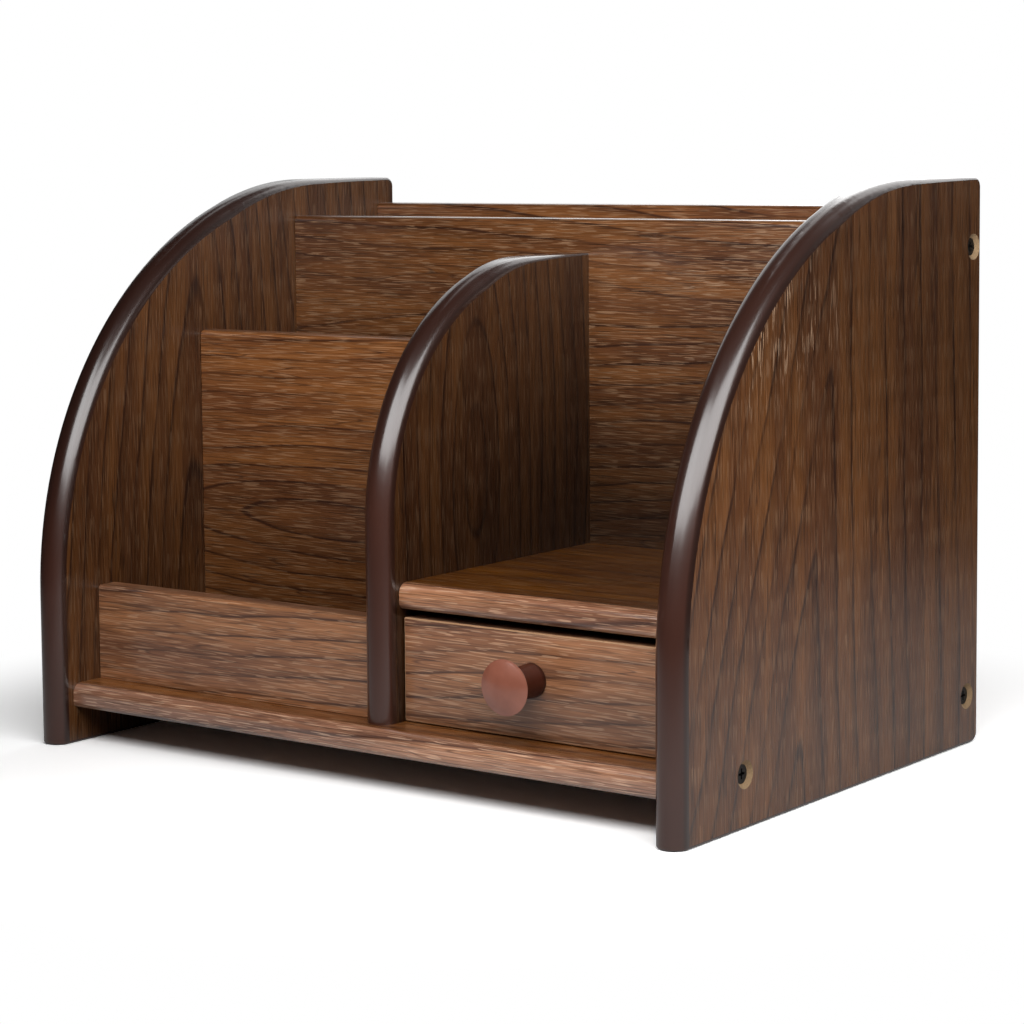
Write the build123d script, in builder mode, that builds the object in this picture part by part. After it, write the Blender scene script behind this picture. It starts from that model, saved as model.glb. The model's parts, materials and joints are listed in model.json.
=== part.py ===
from build123d import *
from math import acos, asin, cos, degrees, radians, sin
import os

os.makedirs("parts", exist_ok=True)

# A desktop organizer of foil-faced fibreboard: two tall curved side panels, four
# upright boards between them that step up towards the back, and a small drawer
# under an open shelf at the right.
# Frame: X runs to the right, the front looks along -Y, Z is up. The origin is on
# the desk, in the middle of the footprint. Millimetres.

# ---------------------------------------------------------------- outside size
width = 300.0
depth = 215.0
height = 219.5

# ---------------------------------------------------------------- board stock
panel_t = 12.0            # side panels, centre divider and back panel
board_t = 9.6             # base, shelf, fascia, dividers and drawer front
drawer_side_t = 8.0
drawer_floor_t = 3.0

# ---------------------------------------------------------------- edge shapes
side_arc_r = 160.0        # big curve over the front top of a side panel
divider_arc_r = 94.0      # the same curve on the centre divider
nose_r = 5.8              # round-over of both sides of a curved edge, a full nose
fade_from = 70.0          # degrees up the big curve where the nose starts to fade
fade_steps = 4
panel_edge_r = 1.2        # softened bottom and back edges of the side panels
divider_edge_r = 0.8      # what is left of the nose where the divider ends
heel_r = 4.0              # back corners of a side panel, seen from the side
rail_w = 14.0             # depth of the strip that carries the fading nose
board_nose_r = 4.0        # upper front edge of the base and the shelf
board_under_r = 2.5       # their lower front edge
board_edge_r = 1.5        # upper front edge of the upright boards

# ---------------------------------------------------------------- positions
base_lift = 14.2          # daylight under the base board
base_set_back = 8.5       # from the front of the side panels
fascia_set_back = 23.5
middle_set_back = 86.0
rear_set_back = 146.8
divider_set_back = 15.8
divider_x = 8.2           # middle plane of the centre divider
fascia_h = 37.4           # heights above the base board
middle_h = 135.0
rear_h = 180.3
back_h = 184.5
divider_h = 166.9
bay_h = 41.9              # clear height of the drawer bay

# ---------------------------------------------------------------- drawer
drawer_set_back = 25.9
drawer_h = 38.4
drawer_side_h = 30.0
drawer_lift = 0.4         # running clearance over the base board
drawer_gap = 0.5          # running clearance at each end of the drawer front
box_gap = 1.0             # running clearance at each side of the drawer box
drawer_back_gap = 1.5     # room left behind the closed drawer
floor_up = 4.0            # underside of the drawer floor above the drawer sides
groove_d = 4.0
floor_play = 0.5          # the floor stops short of the bottom of its grooves
drawer_edge = 0.6         # chamfer round the face of the drawer front
knob_x = 71.9
knob_z = 45.5
knob_d = 20.0
knob_out = 18.7           # how far the knob stands out of the drawer front
knob_rim = 2.0
knob_rim_r = 0.8          # round-over at the back of the rim
knob_dome = 0.9
stem_d = 11.4
stem_root_d = 12.4
stem_waist = 7.0          # from the drawer front to the thinnest place of the stem
neck_flare = 0.3          # how much the stem widens again towards the disc
neck_r = 1.4              # hollow between the stem and the disc

# ---------------------------------------------------------------- fixings
fit = 0.1                 # radial room round a screw or a dowel
screw_d = 3.5
screw_head_d = 7.0
screw_tip_l = 3.5
cross_l = 3.8             # cross recess of a screw head
cross_w = 0.9
cross_deep = 1.1
head_play = 0.3           # radial room round a screw head that lies flush
side_screw_l = 35.0
base_screw_l = 30.0
sink_mouth_d = 10.0       # countersink where it opens on the side panel
side_screw_in = 41.5      # front side screw, from the front of the panel
side_screw_back_in = 9.3  # rear side screw, from the back of the panel
side_screw_drop = 15.4    # upper side screw, below the top of the back panel
base_screw_pitch = 170.0  # between the two base screws of a full-width board
divider_screw_in = 29.2   # base screws of the centre divider, from its two ends
divider_screw_back_in = 20.0
dowel_d = 5.0
dowel_l = 20.0
dowel_in_panel = 8.0
fascia_dowels_at = (0.27, 0.73)    # heights, as shares of the board that is held
divider_dowels_at = (0.2, 0.8)
link_dowels_at = (0.25, 0.75)
shelf_dowel_in = 22.0     # shelf dowels, from the front and back of the shelf
link_in_rear = 6.0        # dowels that tie the centre divider to the rear one
small_dowel_d = 4.0
small_dowel_l = 16.0
small_dowel_in_front = 6.0
small_dowels_at = (0.38, 0.8)
brad_d = 1.4
brad_l = 20.0
brads_at = (0.4, 0.8)
knob_screw_d = 4.0
knob_screw_l = 20.0
knob_screw_head_d = 8.0
knob_screw_head_h = 2.4
knob_screw_edge = 1.2     # chamfer of the head
knob_cross_l = 4.4
knob_cross_w = 1.0
knob_cross_deep = 1.4
near = 0.01               # an edge this close to a plane lies on it

# ---------------------------------------------------------------- derived
front_y = -depth / 2
back_y = depth / 2
inner_x = width / 2 - panel_t
deck_z = base_lift + board_t                 # top of the base board
base_mid_z = base_lift + board_t / 2
divider_left = divider_x - panel_t / 2
divider_right = divider_x + panel_t / 2
fascia_y = front_y + fascia_set_back
middle_y = front_y + middle_set_back
rear_y = front_y + rear_set_back
back_front_y = back_y - panel_t
shelf_z = deck_z + bay_h
drawer_y = front_y + drawer_set_back
drawer_z = deck_z + drawer_lift
box_y = drawer_y + board_t                   # back face of the drawer front
box_end_y = rear_y - drawer_back_gap
box_left = divider_right + box_gap
box_right = inner_x - box_gap
floor_z = drawer_z + floor_up
divider_y = front_y + divider_set_back
side_screw_spots = [
    (front_y + side_screw_in, base_mid_z),
    (back_y - side_screw_back_in, base_mid_z),
    (back_y - panel_t / 2, deck_z + back_h - side_screw_drop),
]


def fade_start(y0, arc_r):
    """Y of the point on the big curve where the nose starts to fade."""
    return y0 + arc_r * (1 - cos(radians(fade_from)))


def curved_panel(part, x0, y0, y1, z0, z1, arc_r, y_end, corner_r=0.0):
    """Upright front, one big quarter arc over the front top corner, level top.

    The front edge gets the full nose. The strip behind the fade start is left out
    as far as y_end, for fading_rail to fill.
    """
    with BuildSketch(Plane.YZ.offset(x0)) as outline:
        with BuildLine():
            Line((y0, z0), (y0, z1 - arc_r))
            CenterArc((y0 + arc_r, z1 - arc_r), arc_r, 180, -90)
            Line((y0 + arc_r, z1), (y1, z1))
            Line((y1, z1), (y1, z0))
            Line((y1, z0), (y0, z0))
        make_face()
        if corner_r:
            fillet(outline.vertices().group_by(Axis.X)[-1], corner_r)
    extrude(outline.sketch, amount=panel_t)
    with BuildSketch(Plane.YZ.offset(x0)) as channel:
        with BuildLine() as spine:
            CenterArc((y0 + arc_r, z1 - arc_r), arc_r, 180 - fade_from, fade_from - 90)
            Line((y0 + arc_r, z1), (y_end, z1))
        trace(spine.line, line_width=2 * rail_w)
    extrude(channel.sketch, amount=panel_t, mode=Mode.SUBTRACT)
    front_edges = []
    for x in (x0, x0 + panel_t):
        for edge in part.edges().filter_by_position(Axis.X, x - near, x + near):
            spot = edge.center()
            if spot.Z > z0 + near and spot.Y < fade_start(y0, arc_r):
                front_edges.append(edge)
    fillet(front_edges, nose_r)


def fading_rail(x0, y0, z1, arc_r, y_end, end_r):
    """The strip along the top, whose nose shrinks from the full round to end_r."""
    mid_x = x0 + panel_t / 2
    y_from = fade_start(y0, arc_r)
    with BuildLine(Plane.YZ.offset(mid_x)) as spine:
        CenterArc((y0 + arc_r, z1 - arc_r), arc_r, 180 - fade_from, fade_from - 90)
        Line((y0 + arc_r, z1), (y_end, z1))
    sections = []
    for step in range(fade_steps + 1):
        done = step / fade_steps
        y = y_from + (y_end - y_from) * done
        lean = acos(max(0.0, y0 + arc_r - y) / arc_r)
        z = z1 - arc_r + arc_r * sin(lean)
        across = Plane(origin=(mid_x, y, z), x_dir=(-1, 0, 0), z_dir=(0, sin(lean), cos(lean)))
        with BuildSketch(across) as section:
            with Locations((0, -rail_w / 2)):
                Rectangle(panel_t, rail_w)
            round_r = end_r + (nose_r - end_r) * (1 - done) ** 2
            fillet(section.vertices().group_by(Axis.Y)[-1], round_r)
        sections.append(section.sketch)
    sweep(sections=sections, path=spine.line, multisection=True)


def soften_panel(part, x0, y_end):
    """Round the bottom, the heels, the back and the foot of the nose."""
    picked = []
    for x in (x0, x0 + panel_t):
        for edge in part.edges().filter_by_position(Axis.X, x - near, x + near):
            spot = edge.center()
            if spot.Z < heel_r or spot.Y > y_end + near:
                picked.append(edge)
    foot = part.faces().sort_by(Axis.Z)[0]
    picked += [edge for edge in foot.edges() if edge.center().Y < front_y + nose_r]
    fillet(picked, panel_edge_r)


def bore(plane, spots, diameter, depth_in):
    """Round holes going down from a plane, at spots given in that plane."""
    with BuildSketch(plane) as holes:
        with Locations(*spots):
            Circle(diameter / 2)
    extrude(holes.sketch, amount=-depth_in, mode=Mode.SUBTRACT)


def cones(plane, spots, wide_d, narrow_d, cone_h, mode=Mode.ADD):
    """Cones that stand on a plane with the wide end and taper down below it."""
    with Locations(plane):
        with Locations(*spots):
            Cone(
                wide_d / 2,
                narrow_d / 2,
                cone_h,
                rotation=(180, 0, 0),
                align=(Align.CENTER, Align.CENTER, Align.MIN),
                mode=mode,
            )


def countersink(plane, spots, mouth_d):
    """A 90 degree cone that runs from the mouth down to the screw hole."""
    hole_d = screw_d + 2 * fit
    cones(plane, spots, mouth_d, hole_d, (mouth_d - hole_d) / 2, Mode.SUBTRACT)


def wood_screw(plane, spots, mouth_d, length):
    """Countersunk cross-head screws whose heads lie below the plane."""
    sink = (mouth_d - screw_head_d) / 2
    head_d = screw_head_d - 2 * fit
    top = plane.offset(-sink)
    cones(top, spots, head_d, screw_d, (head_d - screw_d) / 2)
    with BuildSketch(top) as shank:
        with Locations(*spots):
            Circle(screw_d / 2)
    extrude(shank.sketch, amount=-(length - screw_tip_l))
    cones(plane.offset(-sink - length + screw_tip_l), spots, screw_d, 0, screw_tip_l)
    with BuildSketch(top) as cross:
        with Locations(*spots):
            Rectangle(cross_w, cross_l)
            Rectangle(cross_l, cross_w)
    extrude(cross.sketch, amount=-cross_deep, mode=Mode.SUBTRACT)


def pegs(plane, spots, diameter, into, length):
    """Dowels standing across a plane: part of the length below it."""
    with BuildSketch(plane.offset(-into)) as ends:
        with Locations(*spots):
            Circle(diameter / 2)
    extrude(ends.sketch, amount=length)


# Planes used for holes: local axes are (Y, Z) on the side walls.
left_inner = Plane(origin=(-inner_x, 0, 0), x_dir=(0, 1, 0), z_dir=(1, 0, 0))
right_inner = Plane(origin=(inner_x, 0, 0), x_dir=(0, -1, 0), z_dir=(-1, 0, 0))
left_outer = Plane(origin=(-width / 2, 0, 0), x_dir=(0, -1, 0), z_dir=(-1, 0, 0))
right_outer = Plane(origin=(width / 2, 0, 0), x_dir=(0, 1, 0), z_dir=(1, 0, 0))
divider_left_face = Plane(origin=(divider_left, 0, 0), x_dir=(0, -1, 0), z_dir=(-1, 0, 0))
divider_right_face = Plane(origin=(divider_right, 0, 0), x_dir=(0, 1, 0), z_dir=(1, 0, 0))
underside = Plane(origin=(0, 0, base_lift), x_dir=(1, 0, 0), z_dir=(0, 0, -1))
deck = Plane.XY.offset(deck_z)


def flip(spots):
    """The same (Y, Z) spots seen on a plane whose local x runs along -Y."""
    return [(-y, z) for y, z in spots]


# Dowel spots, as (Y, Z).
fascia_spots = [(fascia_y + board_t / 2, deck_z + fascia_h * k) for k in fascia_dowels_at]
middle_spots = [(middle_y + board_t / 2, deck_z + middle_h * k) for k in divider_dowels_at]
rear_spots = [(rear_y + board_t / 2, deck_z + rear_h * k) for k in divider_dowels_at]
shelf_mid_z = shelf_z + board_t / 2
shelf_spots = [(y, shelf_mid_z) for y in (fascia_y + shelf_dowel_in, rear_y - shelf_dowel_in)]

# Screws that come up through the base board, as (X, Y).
divider_screw_ys = (divider_y + divider_screw_in, rear_y - divider_screw_back_in)
divider_screws = [(divider_x, y) for y in divider_screw_ys]
wide_board_xs = (-base_screw_pitch / 2, base_screw_pitch / 2)
board_screws = [(x, rear_y + board_t / 2) for x in wide_board_xs]
back_screws = [(x, back_front_y + panel_t / 2) for x in wide_board_xs]
bin_mid_x = (divider_left - inner_x) / 2
fascia_screws = [(bin_mid_x, fascia_y + board_t / 2)]
middle_screws = [(bin_mid_x, middle_y + board_t / 2)]
base_screw_spots = divider_screws + board_screws + back_screws + fascia_screws + middle_screws
base_screw_local = [(x, -y) for x, y in base_screw_spots]
sink_flush_d = screw_head_d + 2 * head_play

# ============================================================== side panels
rail_end_y = back_y - 2 * heel_r
with BuildPart() as side_panel_left:
    curved_panel(
        side_panel_left, -width / 2, front_y, back_y, 0, height, side_arc_r, rail_end_y, heel_r
    )
    soften_panel(side_panel_left, -width / 2, rail_end_y)
    fading_rail(-width / 2, front_y, height, side_arc_r, rail_end_y, panel_edge_r)
    countersink(left_outer, flip(side_screw_spots), sink_mouth_d)
    bore(left_outer, flip(side_screw_spots), screw_d + 2 * fit, panel_t)
    bore(left_inner, fascia_spots + middle_spots + rear_spots, dowel_d + 2 * fit, dowel_in_panel)

with BuildPart() as side_panel_right:
    curved_panel(
        side_panel_right, inner_x, front_y, back_y, 0, height, side_arc_r, rail_end_y, heel_r
    )
    soften_panel(side_panel_right, inner_x, rail_end_y)
    fading_rail(inner_x, front_y, height, side_arc_r, rail_end_y, panel_edge_r)
    countersink(right_outer, side_screw_spots, sink_mouth_d)
    bore(right_outer, side_screw_spots, screw_d + 2 * fit, panel_t)
    bore(right_inner, flip(shelf_spots + rear_spots), dowel_d + 2 * fit, dowel_in_panel)

# ============================================================== base board
base_y = front_y + base_set_back
with BuildPart() as base_board:
    with BuildSketch(Plane.YZ.offset(-inner_x)):
        with Locations(((base_y + back_y) / 2, base_mid_z)):
            Rectangle(back_y - base_y, board_t)
    extrude(amount=2 * inner_x)
    base_front = base_board.edges().filter_by(Axis.X).group_by(Axis.Y)[0].sort_by(Axis.Z)
    fillet(base_front[1], board_nose_r)
    base_front = base_board.edges().filter_by(Axis.X).sort_by(Axis.Z)
    fillet([e for e in base_front if e.center().Z < base_lift + near and e.center().Y < 0], board_under_r)
    countersink(underside, base_screw_local, sink_flush_d)
    bore(underside, base_screw_local, screw_d + 2 * fit, board_t)
    end_screw_depth = side_screw_l - panel_t + (sink_mouth_d - screw_head_d) / 2
    base_end_spots = side_screw_spots[:2]
    bore(left_inner, base_end_spots, screw_d + 2 * fit, -end_screw_depth)
    bore(right_inner, flip(base_end_spots), screw_d + 2 * fit, -end_screw_depth)


def upright(x0, x1, y0, thick, tall):
    """A board standing on the base, its upper front edge softened."""
    with BuildSketch(deck) as footprint:
        with Locations(((x0 + x1) / 2, y0 + thick / 2)):
            Rectangle(x1 - x0, thick)
    extrude(footprint.sketch, amount=tall)


def soften(part, y0, top_z, radius):
    edges = part.edges().filter_by(Axis.X)
    fillet([e for e in edges if e.center().Y < y0 + near and e.center().Z > top_z - near], radius)


base_grip = base_screw_l - board_t + (sink_flush_d - screw_head_d) / 2
dowel_in_board = dowel_l - dowel_in_panel

# ============================================================== back panel
with BuildPart() as back_panel:
    upright(-inner_x, inner_x, back_front_y, panel_t, back_h)
    soften(back_panel, back_front_y, deck_z + back_h, board_edge_r)
    bore(deck, back_screws, screw_d + 2 * fit, -base_grip)
    bore(left_inner, side_screw_spots[2:], screw_d + 2 * fit, -end_screw_depth)
    bore(right_inner, flip(side_screw_spots[2:]), screw_d + 2 * fit, -end_screw_depth)

# ============================================================== rear divider
link_spots = [(divider_x, deck_z + divider_h * k) for k in link_dowels_at]
rear_face = Plane(origin=(0, rear_y, 0), x_dir=(1, 0, 0), z_dir=(0, -1, 0))
with BuildPart() as rear_divider:
    upright(-inner_x, inner_x, rear_y, board_t, rear_h)
    soften(rear_divider, rear_y, deck_z + rear_h, board_edge_r)
    bore(deck, board_screws, screw_d + 2 * fit, -base_grip)
    bore(left_inner, rear_spots, dowel_d + 2 * fit, -dowel_in_board)
    bore(right_inner, flip(rear_spots), dowel_d + 2 * fit, -dowel_in_board)
    bore(rear_face, link_spots, dowel_d + 2 * fit, link_in_rear)

# ============================================================== middle divider
with BuildPart() as middle_divider:
    upright(-inner_x, divider_left, middle_y, board_t, middle_h)
    soften(middle_divider, middle_y, deck_z + middle_h, board_edge_r)
    bore(deck, middle_screws, screw_d + 2 * fit, -base_grip)
    bore(left_inner, middle_spots, dowel_d + 2 * fit, -dowel_in_board)
    bore(divider_left_face, flip(middle_spots), dowel_d + 2 * fit, -dowel_in_board)

# ============================================================== bin fascia
with BuildPart() as bin_fascia:
    upright(-inner_x, divider_left, fascia_y, board_t, fascia_h)
    soften(bin_fascia, fascia_y, deck_z + fascia_h, board_edge_r)
    bore(deck, fascia_screws, screw_d + 2 * fit, -base_grip)
    bore(left_inner, fascia_spots, dowel_d + 2 * fit, -dowel_in_board)
    bore(divider_left_face, flip(fascia_spots), dowel_d + 2 * fit, -dowel_in_board)

# ============================================================== centre divider
with BuildPart() as centre_divider:
    divider_top = deck_z + divider_h
    curved_panel(
        centre_divider, divider_left, divider_y, rear_y, deck_z, divider_top, divider_arc_r, rear_y
    )
    fading_rail(divider_left, divider_y, divider_top, divider_arc_r, rear_y, divider_edge_r)
    bore(deck, divider_screws, screw_d + 2 * fit, -base_grip)
    bore(divider_left_face, flip(fascia_spots + middle_spots), dowel_d + 2 * fit, dowel_in_panel)
    bore(divider_right_face, shelf_spots, dowel_d + 2 * fit, dowel_in_panel)
    bore(rear_face, link_spots, dowel_d + 2 * fit, -(dowel_l - link_in_rear))

# ============================================================== shelf
with BuildPart() as drawer_shelf:
    with BuildSketch(Plane.YZ.offset(divider_right)):
        with Locations(((fascia_y + rear_y) / 2, shelf_mid_z)):
            Rectangle(rear_y - fascia_y, board_t)
    extrude(amount=inner_x - divider_right)
    shelf_front = drawer_shelf.edges().filter_by(Axis.X).group_by(Axis.Y)[0].sort_by(Axis.Z)
    fillet(shelf_front[1], board_nose_r)
    shelf_low = drawer_shelf.edges().filter_by(Axis.X)
    fillet([e for e in shelf_low if e.center().Z < shelf_z + near and e.center().Y < 0], board_under_r)
    bore(divider_right_face, shelf_spots, dowel_d + 2 * fit, -dowel_in_board)
    bore(right_inner, flip(shelf_spots), dowel_d + 2 * fit, -dowel_in_board)

# ============================================================== carcass fixings
with BuildPart() as side_screws_left:
    wood_screw(left_outer, flip(side_screw_spots), sink_mouth_d, side_screw_l)

with BuildPart() as side_screws_right:
    wood_screw(right_outer, side_screw_spots, sink_mouth_d, side_screw_l)

with BuildPart() as base_screws:
    wood_screw(underside, base_screw_local, sink_flush_d, base_screw_l)

with BuildPart() as dowels_left:
    pegs(left_inner, fascia_spots + middle_spots + rear_spots, dowel_d, dowel_in_panel, dowel_l)

with BuildPart() as dowels_right:
    pegs(right_inner, flip(shelf_spots + rear_spots), dowel_d, dowel_in_panel, dowel_l)

with BuildPart() as dowels_centre:
    pegs(divider_left_face, flip(fascia_spots + middle_spots), dowel_d, dowel_in_panel, dowel_l)
    pegs(divider_right_face, shelf_spots, dowel_d, dowel_in_panel, dowel_l)

with BuildPart() as dowels_link:
    pegs(rear_face, link_spots, dowel_d, link_in_rear, dowel_l)

# ============================================================== drawer
drawer_left = divider_right + drawer_gap
drawer_right = inner_x - drawer_gap
drawer_face = Plane(origin=(0, drawer_y, 0), x_dir=(1, 0, 0), z_dir=(0, -1, 0))
front_back_face = Plane(origin=(0, box_y, 0), x_dir=(-1, 0, 0), z_dir=(0, 1, 0))
side_mid_x = [box_left + drawer_side_t / 2, box_right - drawer_side_t / 2]
corner_spots = [(-x, drawer_z + drawer_side_h * k) for x in side_mid_x for k in small_dowels_at]
groove_z = floor_z + drawer_floor_t / 2

with BuildPart() as drawer_front:
    with BuildSketch(Plane.XY.offset(drawer_z)):
        with Locations(((drawer_left + drawer_right) / 2, drawer_y + board_t / 2)):
            Rectangle(drawer_right - drawer_left, board_t)
    extrude(amount=drawer_h)
    face_edges = drawer_front.faces().sort_by(Axis.Y)[0].edges()
    chamfer(face_edges, drawer_edge)
    bore(front_back_face, corner_spots, small_dowel_d + 2 * fit, small_dowel_in_front)
    bore(drawer_face, [(knob_x, knob_z)], knob_screw_d + 2 * fit, board_t)
    with BuildSketch(Plane.XZ.offset(-box_y)):
        with Locations(((box_left + box_right) / 2, groove_z)):
            Rectangle(box_right - box_left - 2 * (drawer_side_t - groove_d), drawer_floor_t)
    extrude(amount=groove_d, mode=Mode.SUBTRACT)


def drawer_side(x0, groove_x):
    with BuildSketch(Plane.XY.offset(drawer_z)) as board:
        with Locations((x0 + drawer_side_t / 2, (box_y + box_end_y) / 2)):
            Rectangle(drawer_side_t, box_end_y - box_y)
    extrude(board.sketch, amount=drawer_side_h)
    with BuildSketch(Plane.XY.offset(floor_z)) as groove:
        with Locations((groove_x, (box_y + box_end_y) / 2)):
            Rectangle(groove_d, box_end_y - box_y)
    extrude(groove.sketch, amount=drawer_floor_t, mode=Mode.SUBTRACT)
    bore(front_back_face, corner_spots, small_dowel_d + 2 * fit, -(small_dowel_l - small_dowel_in_front))


back_board_y = box_end_y - drawer_side_t
brad_spots = [(back_board_y + drawer_side_t / 2, drawer_z + drawer_side_h * k) for k in brads_at]
box_left_face = Plane(origin=(box_left, 0, 0), x_dir=(0, -1, 0), z_dir=(-1, 0, 0))
box_right_face = Plane(origin=(box_right, 0, 0), x_dir=(0, 1, 0), z_dir=(1, 0, 0))

with BuildPart() as drawer_side_left:
    drawer_side(box_left, box_left + drawer_side_t - groove_d / 2)
    bore(box_left_face, flip(brad_spots), brad_d + 2 * fit, drawer_side_t)

with BuildPart() as drawer_side_right:
    drawer_side(box_right - drawer_side_t, box_right - drawer_side_t + groove_d / 2)
    bore(box_right_face, brad_spots, brad_d + 2 * fit, drawer_side_t)

with BuildPart() as drawer_back:
    back_bottom = floor_z + drawer_floor_t
    with BuildSketch(Plane.XY.offset(back_bottom)):
        with Locations(((box_left + box_right) / 2, back_board_y + drawer_side_t / 2)):
            Rectangle(box_right - box_left - 2 * drawer_side_t, drawer_side_t)
    extrude(amount=drawer_z + drawer_side_h - back_bottom)
    bore(box_left_face, flip(brad_spots), brad_d + 2 * fit, brad_l)
    bore(box_right_face, brad_spots, brad_d + 2 * fit, brad_l)

with BuildPart() as drawer_floor:
    floor_front = box_y - groove_d + floor_play
    floor_half = (box_right - box_left) / 2 - drawer_side_t + groove_d - floor_play
    with BuildSketch(Plane.XY.offset(floor_z)):
        with Locations(((box_left + box_right) / 2, (floor_front + box_end_y) / 2)):
            Rectangle(2 * floor_half, box_end_y - floor_front)
    extrude(amount=drawer_floor_t)

with BuildPart() as drawer_dowels:
    pegs(front_back_face, corner_spots, small_dowel_d, small_dowel_in_front, small_dowel_l)

with BuildPart() as drawer_brads:
    pegs(box_left_face, flip(brad_spots), brad_d, brad_l, brad_l)
    pegs(box_right_face, brad_spots, brad_d, brad_l, brad_l)

# ============================================================== knob
# Turned in one piece: a stem that swells at its root and a thin domed disc.
knob_axis = Axis((knob_x, 0, knob_z), (0, 1, 0))
disc_back = drawer_y - knob_out + knob_dome + knob_rim
knob_grip = knob_screw_l - board_t
neck_x = knob_x + stem_d / 2 + neck_flare
rim_x = knob_x + knob_d / 2
dome_top = drawer_y - knob_out
dome_r = ((knob_d / 2) ** 2 + knob_dome ** 2) / (2 * knob_dome)
dome_angle = degrees(asin(knob_d / 2 / dome_r))
with BuildPart() as drawer_knob:
    with BuildSketch(Plane.XY.offset(knob_z)):
        with BuildLine():
            Line((knob_x, drawer_y), (knob_x + stem_root_d / 2, drawer_y))
            ThreePointArc(
                (knob_x + stem_root_d / 2, drawer_y),
                (knob_x + stem_d / 2, drawer_y - stem_waist),
                (neck_x, disc_back + neck_r),
            )
            RadiusArc((neck_x, disc_back + neck_r), (neck_x + neck_r, disc_back), neck_r)
            Line((neck_x + neck_r, disc_back), (rim_x - knob_rim_r, disc_back))
            RadiusArc((rim_x - knob_rim_r, disc_back), (rim_x, disc_back - knob_rim_r), -knob_rim_r)
            Line((rim_x, disc_back - knob_rim_r), (rim_x, disc_back - knob_rim))
            CenterArc((knob_x, dome_top + dome_r), dome_r, -90, dome_angle)
            Line((knob_x, dome_top), (knob_x, drawer_y))
        make_face()
    revolve(axis=knob_axis)
    bore(drawer_face, [(knob_x, knob_z)], knob_screw_d + 2 * fit, -knob_grip)

with BuildPart() as knob_screw:
    with BuildSketch(front_back_face):
        with Locations((-knob_x, knob_z)):
            Circle(knob_screw_head_d / 2)
    extrude(amount=knob_screw_head_h)
    chamfer(knob_screw.faces().sort_by(Axis.Y)[-1].edges(), knob_screw_edge)
    with BuildSketch(front_back_face):
        with Locations((-knob_x, knob_z)):
            Circle(knob_screw_d / 2)
    extrude(amount=-knob_screw_l)
    with BuildSketch(front_back_face.offset(knob_screw_head_h)):
        with Locations((-knob_x, knob_z)):
            Rectangle(knob_cross_w, knob_cross_l)
            Rectangle(knob_cross_l, knob_cross_w)
    extrude(amount=-knob_cross_deep, mode=Mode.SUBTRACT)

# ============================================================== names and export
pieces = {
    "side_panel_left": side_panel_left,
    "side_panel_right": side_panel_right,
    "base_board": base_board,
    "back_panel": back_panel,
    "rear_divider": rear_divider,
    "middle_divider": middle_divider,
    "bin_fascia": bin_fascia,
    "centre_divider": centre_divider,
    "drawer_shelf": drawer_shelf,
    "side_screws_left": side_screws_left,
    "side_screws_right": side_screws_right,
    "base_screws": base_screws,
    "dowels_left": dowels_left,
    "dowels_right": dowels_right,
    "dowels_centre": dowels_centre,
    "dowels_link": dowels_link,
    "drawer_front": drawer_front,
    "drawer_side_left": drawer_side_left,
    "drawer_side_right": drawer_side_right,
    "drawer_back": drawer_back,
    "drawer_floor": drawer_floor,
    "drawer_dowels": drawer_dowels,
    "drawer_brads": drawer_brads,
    "drawer_knob": drawer_knob,
    "knob_screw": knob_screw,
}
for label, piece in pieces.items():
    piece.part.label = label
    export_step(piece.part, f"parts/{label}.step")
    box = piece.part.bounding_box()
    print(label, len(piece.part.solids()), "solid(s)", box.min, box.max)
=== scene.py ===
# %% [markdown]
# # A walnut-look desk organizer
# The organizer is made of fibreboard covered with a printed walnut foil. Two tall
# side panels and a lower divider between them carry four upright boards, a base, a
# shelf and a small drawer. The CAD model already has the main shapes and the sizes,
# so this lesson dresses it: it remakes six boards with softened edges, turns the knob,
# and builds each finish from noise and simple maths. First the frame is loaded.

# %% Load the frame
import json
import math

import bmesh
import bpy
from mathutils import Matrix, Vector

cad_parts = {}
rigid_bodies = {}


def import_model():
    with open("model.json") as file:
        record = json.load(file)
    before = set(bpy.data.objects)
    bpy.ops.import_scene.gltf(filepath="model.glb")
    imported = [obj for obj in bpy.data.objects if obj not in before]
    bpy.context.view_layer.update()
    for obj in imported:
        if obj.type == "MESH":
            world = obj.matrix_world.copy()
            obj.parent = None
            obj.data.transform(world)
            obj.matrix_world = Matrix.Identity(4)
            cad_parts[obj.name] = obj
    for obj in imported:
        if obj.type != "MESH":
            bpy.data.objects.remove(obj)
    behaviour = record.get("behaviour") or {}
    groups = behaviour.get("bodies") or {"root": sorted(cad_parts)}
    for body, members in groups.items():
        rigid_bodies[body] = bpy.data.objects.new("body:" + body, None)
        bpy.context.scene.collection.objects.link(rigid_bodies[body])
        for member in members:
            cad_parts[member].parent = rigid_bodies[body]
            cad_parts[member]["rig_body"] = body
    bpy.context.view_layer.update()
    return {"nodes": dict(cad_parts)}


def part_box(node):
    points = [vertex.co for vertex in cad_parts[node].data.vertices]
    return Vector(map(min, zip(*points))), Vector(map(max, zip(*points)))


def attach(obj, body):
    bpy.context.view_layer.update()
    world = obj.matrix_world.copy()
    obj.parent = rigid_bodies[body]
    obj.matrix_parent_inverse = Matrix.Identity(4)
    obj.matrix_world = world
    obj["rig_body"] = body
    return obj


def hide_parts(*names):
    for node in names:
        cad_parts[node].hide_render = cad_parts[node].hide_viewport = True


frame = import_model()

nodes = frame["nodes"]
MM = 0.001
print("nodes in the frame:", len(nodes))

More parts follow.
